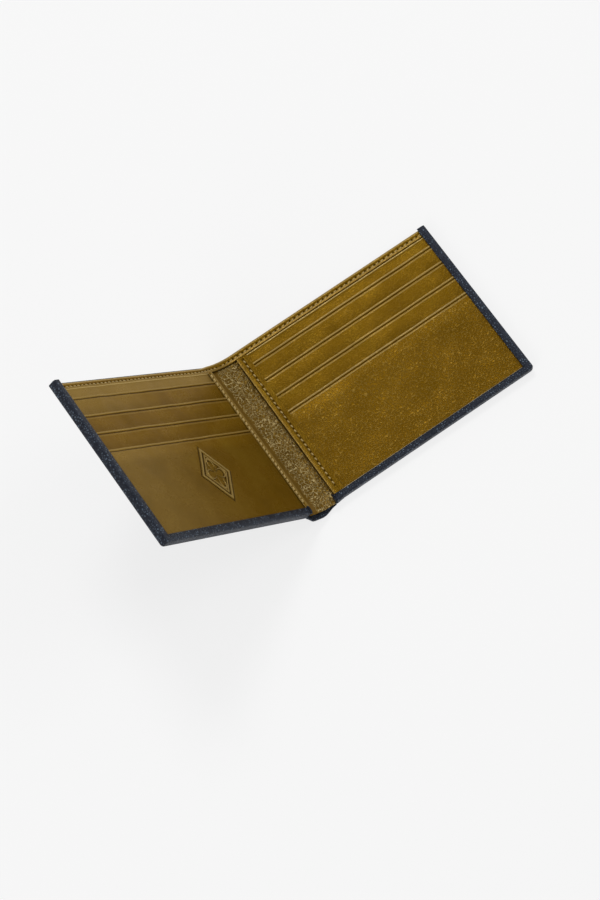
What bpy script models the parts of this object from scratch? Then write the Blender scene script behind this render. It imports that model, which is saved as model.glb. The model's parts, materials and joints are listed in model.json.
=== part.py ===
"""A bifold wallet, opened to about 128 degrees, with its inside facing up.

The back half lies on its outer face. The front half is raised, and the fold between them turns at
two creases, one along each side of the spine. Each half is a stack of thin layers: cover leather
turned over the outer side and the bottom, a stiffening board, the bill compartment with its two
linings, the divider, three slot strips with fabric tails, and a front pocket.

World frame: +X runs from the fold to the back half's outer edge, +Y to the wallet's open top,
+Z out of the back half's inside. The origin is the middle of the back half's outer face.
In each half, u is the distance from its crease and z the height above its outer face.
"""

import math

import bmesh
import bpy
from mathutils import Matrix, Vector

MM = 0.001

# Driving sizes
PANEL_WIDTH = 114.4 * MM  # crease to outer edge, each half
HEIGHT = 89.0 * MM
SPINE_WIDTH = 12.0 * MM  # crease to crease
RAISE = math.radians(52.3)  # of the front half above flat, shared by the two creases
CREASE_HEIGHT = 0.35 * MM  # of a crease's axis above the outer face
TURNED_EDGE = 3.6 * MM  # width of the cover leather turned over the inside
SLOT_PITCH = 9.7 * MM
FIRST_SLOT = 9.95 * MM  # first slot's mouth below the top edge
SLOT_COUNT = 3

# Where the layers start and end
TOP = HEIGHT / 2
BOTTOM = -HEIGHT / 2
COVER_START = 0.7 * MM  # of the cover's back, from the crease
INSIDE_START = 2.7 * MM  # of everything inside, clear of the folding spine
BAND_START = 3.3 * MM  # of the divider's top hem, clear of the spine's own hem
INNER_EDGE = {"back": 4.25 * MM, "front": 2.75 * MM}  # of the card panel
INNER_HEM = {"back": 5.6 * MM, "front": 2.6 * MM}  # its width
THREAD_LINE = {"back": 7.0 * MM, "front": 4.6 * MM}  # seam's distance from the crease
WALL = 1.1 * MM  # turned leather at the side and bottom
OVERRUN = 6.0 * MM  # by which a cutter passes the leather

# Heights of the layers above the outer face: (underside, top)
COVER_BACK = (0.0, 0.8 * MM)
BOARD = (0.88 * MM, 1.28 * MM)
BILL_LINING = (1.36 * MM, 1.52 * MM)
DIVIDER_LINING = (1.90 * MM, 2.02 * MM)
DIVIDER = (2.10 * MM, 2.50 * MM)
TOP_HEM = (2.58 * MM, 3.40 * MM)
INNER_HEM_Z = (4.09 * MM, 4.45 * MM)
LIP = (4.10 * MM, 4.60 * MM)
TAIL_FIRST = 2.58 * MM
TAIL_THICK = 0.10 * MM
TAIL_STEP = 0.16 * MM

# Slot strips: each slopes down from its mouth under the strip in front of it
STRIP_THICK = 0.35 * MM
STRIP_LENGTH = 13.0 * MM
STRIP_FOOT = 3.08 * MM  # underside at the lower end
STRIP_SLOPE = 0.045
BASE_TOP = 4.75 * MM  # card base's top edge below the wallet's
BASE_LENGTH = 9.3 * MM
BASE_FOOT = 2.95 * MM
BASE_SLOPE = 0.035
POCKET_SLOPE = 0.0125
PANEL_END = 1.3 * MM  # strips stop this far from the cover's outer edges
HEM_GAP = 0.1 * MM  # between the inner hem and the turned edge

TOP_HEM_WIDTH = 4.0 * MM
THREAD_WIDTH = 0.5 * MM
THREAD_THICK = 0.15 * MM
GLUE = 0.05 * MM

# The spine's layers, as heights above the creases' axes
SPINE_END = 0.7 * MM  # cover's distance from each crease
SPINE_INSET = 0.6 * MM
SPINE_COVER = (-0.35 * MM, 0.45 * MM)
SPINE_LINING = (0.75 * MM, 0.90 * MM)
SPINE_DIVIDER_LINING = (1.18 * MM, 1.30 * MM)
SPINE_DIVIDER = (1.42 * MM, 1.80 * MM)
SPINE_HEM = (1.88 * MM, 2.26 * MM)
SPINE_BULGE = 1.0 * MM  # of the spine's cover away from the inside
SPINE_STEPS = 8

OBJECT_NAME = "bifold_wallet"


def clear_scene():
    """Remove every object that the scene starts with."""
    for item in list(bpy.data.objects):
        bpy.data.objects.remove(item, do_unlink=True)


def linear(hex_colour):
    """Turn an sRGB hex colour into linear red, green, blue and alpha."""
    channels = [int(hex_colour[i : i + 2], 16) / 255 for i in (1, 3, 5)]
    return [c / 12.92 if c <= 0.04045 else ((c + 0.055) / 1.055) ** 2.4 for c in channels] + [1.0]


def leather(name, hex_colour, roughness):
    """A plain non-metallic material."""
    made = bpy.data.materials.new(name)
    made.use_nodes = True
    shader = made.node_tree.nodes["Principled BSDF"]
    shader.inputs["Base Color"].default_value = linear(hex_colour)
    shader.inputs["Roughness"].default_value = roughness
    shader.inputs["Metallic"].default_value = 0.0
    return made


def collection(name):
    made = bpy.data.collections.new(name)
    bpy.context.scene.collection.children.link(made)
    return made


def empty(name, parent, location, turn=0.0):
    """An empty at a crease, turned about Y, that the pieces of one body hang from."""
    made = bpy.data.objects.new(name, None)
    made.empty_display_size = 0.01
    made.location = location
    made.rotation_euler = (0.0, turn, 0.0)
    made.parent = parent
    PARTS.objects.link(made)
    return made


def box_mesh(name, size):
    """A box of the given size about its own middle."""
    shape = bmesh.new()
    bmesh.ops.create_cube(shape, size=1.0, matrix=Matrix.Diagonal((*size, 1.0)))
    mesh = bpy.data.meshes.new(name)
    shape.to_mesh(mesh)
    shape.free()
    return mesh


def place(name, mesh, parent, location, material, turn_x=0.0):
    """Make an object of a mesh and hang it from its body's empty."""
    made = bpy.data.objects.new(name, mesh)
    made.location = location
    made.rotation_euler = (turn_x, 0.0, 0.0)
    made.parent = parent
    mesh.materials.append(material)
    PARTS.objects.link(made)
    return made


def round_edges(item, width, segments=1):
    modifier = item.modifiers.new("rounded_edges", "BEVEL")
    modifier.width = width
    modifier.segments = segments
    modifier.limit_method = "ANGLE"
    return modifier


def cut(item, cutter):
    """Take a cutter out of an item, and hide the cutter."""
    modifier = item.modifiers.new("cut_" + cutter.name, "BOOLEAN")
    modifier.operation = "DIFFERENCE"
    modifier.solver = "EXACT"
    modifier.object = cutter
    cutter.hide_render = True
    cutter.display_type = "WIRE"
    for holder in list(cutter.users_collection):
        holder.objects.unlink(cutter)
    CUTTERS.objects.link(cutter)


class Half:
    """One half of the wallet, laid out by distance from its crease."""

    def __init__(self, name, sign, frame):
        self.name = name
        self.sign = sign
        self.frame = frame

    def slab(self, node, u, y, z, material, slope=0.0):
        """A flat layer between two distances u, two places y and two heights z.

        With a slope, the z heights hold at the layer's lower end, and it rises towards the top.
        """
        size = Vector((u[1] - u[0], y[1] - y[0], z[1] - z[0]))
        rise = slope * size.y / 2
        middle = (
            self.sign * (u[0] + u[1]) / 2,
            (y[0] + y[1]) / 2,
            (z[0] + z[1]) / 2 - CREASE_HEIGHT + rise,
        )
        name = f"{self.name}_{node}"
        return place(name, box_mesh(name, size), self.frame, middle, material, math.atan(slope))

    def cover(self):
        """Cover leather: the back, with its side and bottom turned over the inside as a lip."""
        outer = PANEL_WIDTH
        shell = self.slab("cover_leather", (COVER_START, outer), (BOTTOM, TOP), (0.0, LIP[1]), NAVY)
        round_edges(shell, 0.25 * MM, 2)
        cavity = self.slab(
            "cavity_cutter",
            (-OVERRUN, outer - WALL),
            (BOTTOM + WALL, TOP + OVERRUN),
            (COVER_BACK[1], LIP[0]),
            NAVY,
        )
        window = self.slab(
            "window_cutter",
            (-OVERRUN, outer - TURNED_EDGE),
            (BOTTOM + TURNED_EDGE, TOP + OVERRUN),
            (LIP[0] - STRIP_THICK, LIP[1] + OVERRUN),
            NAVY,
        )
        fold_end = self.slab(
            "fold_cutter",
            (-OVERRUN, INSIDE_START),
            (BOTTOM - OVERRUN, TOP + OVERRUN),
            (COVER_BACK[1], LIP[1] + OVERRUN),
            NAVY,
        )
        for cutter in (cavity, window, fold_end):
            cut(shell, cutter)

    def inner_layers(self):
        """Board, the two bill linings and the divider with its stitched top hem."""
        reach = (INSIDE_START, PANEL_WIDTH - WALL - 0.1 * MM)
        foot = BOTTOM + WALL + 0.1 * MM
        self.slab("cover_board", reach, (foot, TOP - 1.0 * MM), BOARD, BOARD_GREY)
        self.slab("bill_lining", reach, (foot, TOP - 0.4 * MM), BILL_LINING, CLOTH)
        self.slab("divider_lining", reach, (foot, TOP - 0.6 * MM), DIVIDER_LINING, CLOTH)
        self.slab("divider", reach, (foot, TOP - 0.5 * MM), DIVIDER, OLIVE)
        band = (TOP - 0.5 * MM - TOP_HEM_WIDTH, TOP - 0.5 * MM)
        across = (BAND_START, reach[1])
        self.slab("top_hem", across, band, TOP_HEM, OLIVE)
        seam = (band[0] + band[1]) / 2
        line = (seam - THREAD_WIDTH / 2, seam + THREAD_WIDTH / 2)
        self.slab("top_hem_thread", across, line, lift(TOP_HEM[1]), THREAD)

    def card_panel(self):
        """Card base, slot strips with their tails, the front pocket and the stitched inner hem."""
        reach = (INNER_EDGE[self.name] + 0.2 * MM, PANEL_WIDTH - PANEL_END)
        foot = BOTTOM + PANEL_END
        base_top = TOP - BASE_TOP
        self.slab(
            "card_base",
            reach,
            (base_top - BASE_LENGTH, base_top),
            (BASE_FOOT, BASE_FOOT + STRIP_THICK),
            OLIVE,
            BASE_SLOPE,
        )
        strip_z = (STRIP_FOOT, STRIP_FOOT + STRIP_THICK)
        for index in range(SLOT_COUNT):
            mouth = TOP - FIRST_SLOT - index * SLOT_PITCH
            end = mouth - STRIP_LENGTH
            self.slab(f"slot_{index + 1}", reach, (end, mouth), strip_z, OLIVE, STRIP_SLOPE)
            low = TAIL_FIRST + index * TAIL_STEP
            tail_z = (low, low + TAIL_THICK)
            tail_reach = (reach[0] + 1.0 * MM, reach[1] - 1.0 * MM)
            self.slab(f"slot_{index + 1}_tail", tail_reach, (foot, end + 1.0 * MM), tail_z, CLOTH)
        mouth = TOP - FIRST_SLOT - SLOT_COUNT * SLOT_PITCH
        self.slab("front_pocket", reach, (foot, mouth), strip_z, OLIVE, POCKET_SLOPE)
        edge = INNER_EDGE[self.name]
        hem_y = (BOTTOM + TURNED_EDGE + HEM_GAP, base_top)
        self.slab("inner_hem", (edge, edge + INNER_HEM[self.name]), hem_y, INNER_HEM_Z, OLIVE)
        seam = THREAD_LINE[self.name]
        line = (seam - THREAD_WIDTH / 2, seam + THREAD_WIDTH / 2)
        self.slab("inner_hem_thread", line, hem_y, lift(INNER_HEM_Z[1]), THREAD)

    def build(self):
        self.cover()
        self.inner_layers()
        self.card_panel()


def lift(top):
    """Heights of a thread that lies on a surface."""
    return (top + GLUE, top + GLUE + THREAD_THICK)


class Spine:
    """The strip between the two creases. Its frame stands on the back crease, and it runs to -X."""

    def __init__(self, frame):
        self.frame = frame

    def sheet(self, node, end, y, z, material, bulge=0.0):
        """A layer across the spine, bulged away from the inside by a parabola."""
        length = SPINE_WIDTH - 2 * end
        shape = bmesh.new()
        bmesh.ops.create_grid(shape, x_segments=SPINE_STEPS, y_segments=1, size=0.5)
        for vertex in shape.verts:
            across = 2 * vertex.co.x
            vertex.co.x *= length
            vertex.co.y *= y[1] - y[0]
            vertex.co.z = -bulge * (1 - across**2)
        mesh = bpy.data.meshes.new(node)
        shape.to_mesh(mesh)
        shape.free()
        middle = (-SPINE_WIDTH / 2, (y[0] + y[1]) / 2, z[0])
        made = place(node, mesh, self.frame, middle, material)
        wall = made.modifiers.new("thickness", "SOLIDIFY")
        wall.thickness = z[1] - z[0]
        wall.offset = 1.0
        return made

    def build(self):
        y = (BOTTOM, TOP)
        inner_y = (BOTTOM + 0.3 * MM, TOP - 0.5 * MM)
        band = (TOP - 0.5 * MM - TOP_HEM_WIDTH, TOP - 0.5 * MM)
        seam = (band[0] + band[1]) / 2
        line = (seam - THREAD_WIDTH / 2, seam + THREAD_WIDTH / 2)
        self.sheet("spine_cover", SPINE_END, y, SPINE_COVER, NAVY, SPINE_BULGE)
        self.sheet("spine_bill_lining", SPINE_INSET, inner_y, SPINE_LINING, CLOTH)
        self.sheet("spine_divider_lining", SPINE_INSET, inner_y, SPINE_DIVIDER_LINING, CLOTH)
        self.sheet("spine_divider", SPINE_INSET, inner_y, SPINE_DIVIDER, OLIVE)
        self.sheet("spine_top_hem", SPINE_INSET, band, SPINE_HEM, OLIVE)
        self.sheet("spine_top_hem_thread", SPINE_INSET, line, lift(SPINE_HEM[1]), THREAD)


clear_scene()
PARTS = collection(OBJECT_NAME)
CUTTERS = collection("cutters")
NAVY = leather("navy_grained_leather", "#2c333f", 0.5)
OLIVE = leather("olive_glazed_leather", "#6c5215", 0.32)
CLOTH = leather("olive_lining_cloth", "#5a4a24", 0.85)
BOARD_GREY = leather("stiffening_board", "#8d8574", 0.9)
THREAD = leather("ochre_thread", "#b79a55", 0.7)

back_crease = empty("back_crease", None, (-PANEL_WIDTH / 2, 0.0, CREASE_HEIGHT))
spine_turn = empty("spine_turn", back_crease, (0.0, 0.0, 0.0), RAISE / 2)
front_crease = empty("front_crease", spine_turn, (-SPINE_WIDTH, 0.0, 0.0), RAISE / 2)

Half("back", 1, back_crease).build()
Half("front", -1, front_crease).build()
Spine(spine_turn).build()
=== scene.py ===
"""A bifold leather wallet: navy grained cover, olive glazed inside, standing half open.

Each half is laid out flat first: u runs from its crease to its outer edge, y up to the open top of
the bill compartment, and z from the outer face to the inside. The same coordinates go on past the
crease, to the spine's middle line, for every layer that runs across the fold. A finished piece is
then bent over the fold and set in its place.
"""

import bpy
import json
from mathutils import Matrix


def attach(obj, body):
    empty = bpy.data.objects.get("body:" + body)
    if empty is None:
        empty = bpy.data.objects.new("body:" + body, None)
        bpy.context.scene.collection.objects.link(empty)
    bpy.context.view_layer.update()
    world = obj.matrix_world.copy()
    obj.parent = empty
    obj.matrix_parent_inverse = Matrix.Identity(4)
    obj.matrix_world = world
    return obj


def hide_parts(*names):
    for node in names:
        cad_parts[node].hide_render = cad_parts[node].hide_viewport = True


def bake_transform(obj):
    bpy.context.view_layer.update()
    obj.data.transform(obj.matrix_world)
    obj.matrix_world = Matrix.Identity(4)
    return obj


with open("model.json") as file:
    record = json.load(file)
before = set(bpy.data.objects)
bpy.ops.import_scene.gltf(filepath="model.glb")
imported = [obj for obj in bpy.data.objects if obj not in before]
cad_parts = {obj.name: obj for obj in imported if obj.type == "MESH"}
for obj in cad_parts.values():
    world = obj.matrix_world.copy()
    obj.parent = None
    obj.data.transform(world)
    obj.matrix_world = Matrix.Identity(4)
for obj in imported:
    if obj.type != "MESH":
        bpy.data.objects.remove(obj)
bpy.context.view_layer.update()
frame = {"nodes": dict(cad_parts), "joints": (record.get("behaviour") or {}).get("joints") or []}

import json
import logging
import math
from dataclasses import dataclass, field
from enum import Enum
from typing import Any, Callable, Iterable, Sequence

import bmesh
import bpy
from mathutils import Matrix, Vector, noise

MM = 0.001
LOG = logging.getLogger("wallet")

Ring = list[Vector]
Place = Callable[[Vector], Vector]


# ---------------------------------------------------------------- layout


class Side(Enum):
    """The two halves. The value is the half's name in the frame."""

    BACK = "back"
    FRONT = "front"


@dataclass(frozen=True)
class Fold:
    """The two creases, and the places of the halves and the spine around them."""

    back: Vector
    front: Vector

    @classmethod
    def from_frame(cls) -> "Fold":
        """Read the creases' places from the frame's joints."""
        places = {joint["name"]: Vector(joint["pos_m"]) for joint in frame["joints"]}
        return cls(places["back_crease"], places["front_crease"])

    @property
    def turn(self) -> float:
        """Angle that each crease is bent by, in radians."""
        return math.atan2(self.front.z - self.back.z, self.back.x - self.front.x)

    @property
    def half_spine(self) -> float:
        """Distance from a crease to the spine's middle line."""
        return (self.front - self.back).length / 2

    @property
    def crease_height(self) -> float:
        """Height of a crease's axis above the outer face."""
        return self.back.z

    def matrix(self, side: Side) -> Matrix:
        """Transform from a half's own layout to the wallet's frame.

        Args:
            side: The half. The front one is laid out as a mirror image.

        Returns:
            The 4 by 4 transform.
        """
        down = Matrix.Translation((0.0, 0.0, -self.crease_height))
        if side is Side.BACK:
            return Matrix.Translation(self.back) @ down
        turn = Matrix.Rotation(2 * self.turn, 4, "Y")
        return Matrix.Translation(self.front) @ turn @ down @ Matrix.Diagonal((-1, 1, 1, 1))


@dataclass(frozen=True)
class Crossing:
    """Path of one layer across a crease, in a half's layout: a cubic curve to the middle line.

    Attributes:
        fold: The wallet's creases.
        level: Height of the layer in the half, above the outer face.
        middle: Height of the layer at the middle line, above the creases' axes.
        start: Distance from the crease at which the layer leaves the half's plane.
        ease: Length of the curve's handles, as a share of its chord.
    """

    fold: Fold
    level: float
    middle: float
    start: float = 3.4 * MM
    ease: float = 0.36

    @property
    def end(self) -> float:
        """The middle line's u in the flat layout."""
        return -self.fold.half_spine

    def _curve(self) -> tuple[Vector, Vector, Vector, Vector]:
        """Control points (u, z) of the curve."""
        turn = self.fold.turn
        along = Vector((-math.cos(turn), math.sin(turn)))
        inside = Vector((math.sin(turn), math.cos(turn)))
        first = Vector((self.start, self.level))
        crease = Vector((0.0, self.fold.crease_height))
        last = crease + along * self.fold.half_spine + inside * self.middle
        reach = (last - first).length * self.ease
        return first, first - Vector((reach, 0.0)), last - along * reach, last

    def bend(self, point: Vector) -> Vector:
        """Lay a flat point over the fold.

        Args:
            point: Point in the flat layout.

        Returns:
            The same point, on the curve if it is past the start.
        """
        if point.x >= self.start:
            return point.copy()
        t = (self.start - point.x) / (self.start - self.end)
        a, b, c, d = self._curve()
        s = 1.0 - t
        place = a * s**3 + b * (3 * s * s * t) + c * (3 * s * t * t) + d * t**3
        slope = (b - a) * (3 * s * s) + (c - b) * (6 * s * t) + (d - c) * (3 * t * t)
        slope.normalize()
        lift = Vector((slope.y, -slope.x)) * (point.z - self.level)
        return Vector((place.x + lift.x, point.y, place.y + lift.y))


def lines(start: float, end: float, step: float) -> list[float]:
    """Evenly spaced places from start to end, no more than a step apart.

    Args:
        start: First place.
        end: Last place.
        step: Widest spacing.

    Returns:
        The places, both ends included.
    """
    count = max(1, math.ceil(abs(end - start) / step - 1e-9))
    return [start + (end - start) * i / count for i in range(count + 1)]


def joined(*runs: Sequence[float]) -> list[float]:
    """Runs of places put together in rising order, each place once."""
    kept: list[float] = []
    for place in sorted(p for run in runs for p in run):
        if not kept or place - kept[-1] > 1e-6:
            kept.append(place)
    return kept


def smooth(value: float, low: float, high: float) -> float:
    """Smooth step from 0 at low to 1 at high."""
    t = min(1.0, max(0.0, (value - low) / (high - low)))
    return t * t * (3 - 2 * t)


def waves(point: Vector, size: float, seed: float) -> float:
    """Soft noise from -1 to 1 with features of one size, over u and y."""
    return noise.noise(Vector((point.x / size + seed, point.y / size - seed, seed)))


# ---------------------------------------------------------------- modelling


class Workpiece:
    """One piece on the bench: a mesh modelled flat, then dressed and set in its place."""

    def __init__(self, name: str, made: bpy.types.Object) -> None:
        """Take over a new object. Its points are in the flat layout."""
        self.object = made
        made.name = name
        made.data.name = name
        self.bent = False

    @classmethod
    def grid(cls, name: str, columns: Sequence[float], rows: Sequence[float], z: float) -> "Workpiece":
        """A flat sheet whose lines run at given places.

        Args:
            name: The piece's name.
            columns: Places of the lines across u, rising.
            rows: Places of the lines across y, rising.
            z: Height of the sheet.

        Returns:
            The piece.
        """
        bpy.ops.object.select_all(action="DESELECT")
        nx, ny = len(columns) - 1, len(rows) - 1
        bpy.ops.mesh.primitive_grid_add(x_subdivisions=nx, y_subdivisions=ny, size=2.0)
        piece = cls(name, bpy.context.object)
        for vertex in piece.mesh.vertices:
            across = columns[round((vertex.co.x + 1) / 2 * nx)]
            up = rows[round((vertex.co.y + 1) / 2 * ny)]
            vertex.co = (across, up, z)
        return piece

    @property
    def mesh(self) -> bpy.types.Mesh:
        """The piece's mesh."""
        return self.object.data

    def flip(self) -> None:
        """Turn every face the other way."""
        bpy.ops.object.mode_set(mode="EDIT")
        bpy.ops.mesh.select_all(action="SELECT")
        bpy.ops.mesh.flip_normals()
        bpy.ops.object.mode_set(mode="OBJECT")

    def shape(self, place: Place) -> None:
        """Move every point by a rule."""
        for vertex in self.mesh.vertices:
            vertex.co = place(vertex.co.copy())
        self.mesh.update()

    def extrude(self, chosen: Callable[[Vector], bool], rings: Iterable[Ring]) -> None:
        """Extrude a chain of border edges ring by ring.

        Args:
            chosen: Says which points belong to the chain.
            rings: Places of each new ring's points, in order of falling x + y.
        """
        bpy.ops.object.mode_set(mode="EDIT")
        bpy.ops.mesh.select_mode(type="VERT")
        bpy.ops.mesh.select_all(action="DESELECT")
        shape = bmesh.from_edit_mesh(self.mesh)
        chain = [e for e in shape.edges if e.is_boundary and all(chosen(v.co) for v in e.verts)]
        for edge in chain:
            edge.select = True
        bmesh.update_edit_mesh(self.mesh)
        for ring in rings:
            before = [v.co.copy() for v in shape.verts if v.select]
            order = sorted(range(len(before)), key=lambda i: -(before[i].x + before[i].y))
            rank = {tuple(round(c, 9) for c in before[i]): k for k, i in enumerate(order)}
            bpy.ops.mesh.extrude_edges_move()
            shape = bmesh.from_edit_mesh(self.mesh)
            for vertex in shape.verts:
                if vertex.select:
                    vertex.co = ring[rank[tuple(round(c, 9) for c in vertex.co)]]
            bmesh.update_edit_mesh(self.mesh)
        bpy.ops.object.mode_set(mode="OBJECT")

    def cut(self, chosen: Callable[[Sequence[Vector]], bool]) -> None:
        """Cut faces away.

        Args:
            chosen: Says from a face's corners whether it goes.
        """
        bpy.ops.object.mode_set(mode="EDIT")
        bpy.ops.mesh.select_mode(type="FACE")
        bpy.ops.mesh.select_all(action="DESELECT")
        shape = bmesh.from_edit_mesh(self.mesh)
        for face in shape.faces:
            face.select = chosen([v.co for v in face.verts])
        bmesh.update_edit_mesh(self.mesh)
        bpy.ops.mesh.delete(type="FACE")
        bpy.ops.object.mode_set(mode="OBJECT")

    def close_end(self, chosen: Callable[[Vector], bool], centre: Vector, steps: Sequence[tuple[float, float]]) -> None:
        """Close an open end by drawing its border in towards a point.

        Args:
            chosen: Says which points belong to the end's border.
            centre: The point it is drawn in to.
            steps: For each new ring, the share of the way to the centre and the bulge along -u.
        """
        bpy.ops.object.mode_set(mode="EDIT")
        bpy.ops.mesh.select_mode(type="VERT")
        bpy.ops.mesh.select_all(action="DESELECT")
        shape = bmesh.from_edit_mesh(self.mesh)
        for edge in [e for e in shape.edges if e.is_boundary and all(chosen(v.co) for v in e.verts)]:
            edge.select = True
        bmesh.update_edit_mesh(self.mesh)
        for share, bulge in steps:
            bpy.ops.mesh.extrude_edges_move()
            shape = bmesh.from_edit_mesh(self.mesh)
            for vertex in shape.verts:
                if vertex.select:
                    vertex.co = vertex.co.lerp(Vector((vertex.co.x - bulge, centre.y, centre.z)), share)
                    vertex.co.x -= bulge * (1 - share)
            bmesh.update_edit_mesh(self.mesh)
        bpy.ops.object.mode_set(mode="OBJECT")

    def mark(self, name: str, rule: Callable[[Vector], float]) -> None:
        """Store a number on every point for the finish to read.

        Args:
            name: The attribute's name.
            rule: The number for a point in the flat layout.
        """
        layer = self.mesh.attributes.get(name) or self.mesh.attributes.new(name, "FLOAT", "POINT")
        for vertex in self.mesh.vertices:
            layer.data[vertex.index].value = rule(vertex.co)

    def apply(self, kind: str, **settings: Any) -> None:
        """Add a modifier and apply it.

        Args:
            kind: The modifier's type.
            settings: Its values.
        """
        bpy.ops.object.select_all(action="DESELECT")
        self.object.select_set(True)
        bpy.context.view_layer.objects.active = self.object
        modifier = self.object.modifiers.new(kind.lower(), kind)
        for key, value in settings.items():
            setattr(modifier, key, value)
        bpy.ops.object.modifier_apply(modifier=modifier.name)

    def thicken(self, thickness: float) -> None:
        """Give the sheet a wall behind its faces."""
        self.apply("SOLIDIFY", thickness=thickness, offset=-1.0, use_quality_normals=True)

    def round_rim(self, width: float, segments: int, chosen: Callable[[Vector], bool] | None = None) -> None:
        """Round the sharp edges.

        Args:
            width: Width of the rounding.
            segments: Number of faces across it.
            chosen: Says which points' edges are rounded. Without it, all are.
        """
        bpy.ops.object.mode_set(mode="EDIT")
        bpy.ops.mesh.select_mode(type="EDGE")
        bpy.ops.mesh.select_all(action="DESELECT")
        shape = bmesh.from_edit_mesh(self.mesh)
        for edge in shape.edges:
            sharp = len(edge.link_faces) == 2 and edge.calc_face_angle(0.0) > math.radians(50)
            edge.select = sharp and all(chosen is None or chosen(v.co) for v in edge.verts)
        bmesh.update_edit_mesh(self.mesh)
        bpy.ops.mesh.bevel(offset=width, segments=segments, profile=0.5, affect="EDGES")
        bpy.ops.object.mode_set(mode="OBJECT")

    def lay_out(self) -> None:
        """Store the flat place of every point, which the leather's grain follows."""
        layer = self.mesh.attributes.new("laid_flat", "FLOAT_VECTOR", "POINT")
        for vertex in self.mesh.vertices:
            layer.data[vertex.index].vector = vertex.co

    def finish(self, matrix: Matrix, finish: "Finish", slot: str, path: Crossing | None = None) -> None:
        """Bend the piece over the fold, set it in its place and dress it.

        Args:
            matrix: From the half's layout to the wallet's frame.
            finish: The surface it gets.
            slot: The record's material slot. Not used.
            path: The layer's way across the crease, if it crosses it.
        """
        self.lay_out()
        if path is not None:
            self.shape(path.bend)
        self.mesh.transform(matrix)
        if matrix.determinant() < 0:
            bpy.context.view_layer.objects.active = self.object
            self.flip()
        bpy.ops.object.select_all(action="DESELECT")
        self.object.select_set(True)
        bpy.context.view_layer.objects.active = self.object
        bpy.ops.object.shade_smooth_by_angle(angle=math.radians(42))
        self.mesh.materials.clear()
        self.mesh.materials.append(finish.material())


# ---------------------------------------------------------------- finishes


def linear(colour: str) -> tuple[float, float, float, float]:
    """Turn an sRGB hex colour into linear light.

    Args:
        colour: The colour as #rrggbb.

    Returns:
        Red, green, blue and an alpha of 1.
    """
    parts = [int(colour[i : i + 2], 16) / 255 for i in (1, 3, 5)]
    red, green, blue = (c / 12.92 if c <= 0.04045 else ((c + 0.055) / 1.055) ** 2.4 for c in parts)
    return red, green, blue, 1.0


def add_node(tree: bpy.types.NodeTree, kind: str, links: dict | None = None, **settings: Any) -> Any:
    """Add a node with its settings and links.

    Args:
        tree: The material's node tree.
        kind: The node's type, without the leading ShaderNode.
        links: Input name or number to the output socket that feeds it, or to a plain value.
        settings: The node's own properties.

    Returns:
        The node.
    """
    made = tree.nodes.new("ShaderNode" + kind)
    for key, value in settings.items():
        setattr(made, key, value)
    for key, value in (links or {}).items():
        if isinstance(value, bpy.types.NodeSocket):
            tree.links.new(value, made.inputs[key])
        else:
            made.inputs[key].default_value = value
    return made


def ramp(tree: bpy.types.NodeTree, factor: Any, stops: Sequence[tuple[float, Any]]) -> Any:
    """A colour ramp.

    Args:
        tree: The material's node tree.
        factor: The socket that drives it.
        stops: Place and colour of each stop. A colour is a hex string or a grey value.

    Returns:
        The ramp's colour output.
    """
    made = add_node(tree, "ValToRGB", {"Fac": factor})
    band = made.color_ramp
    while len(band.elements) < len(stops):
        band.elements.new(0.5)
    for element, (place, colour) in zip(band.elements, stops):
        element.position = place
        element.color = linear(colour) if isinstance(colour, str) else (colour, colour, colour, 1.0)
    return made.outputs["Color"]


class Finish:
    """A surface. Its material is made once and shared."""

    name: str

    def material(self) -> bpy.types.Material:
        """The finish's material, made at its first use."""
        found = bpy.data.materials.get(self.name)
        if found is not None:
            return found
        made = bpy.data.materials.new(self.name)
        made.use_nodes = True
        self.paint(made.node_tree, made.node_tree.nodes["Principled BSDF"])
        return made

    def paint(self, tree: bpy.types.NodeTree, shader: Any) -> None:
        """Build the finish's nodes."""
        raise NotImplementedError


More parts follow.
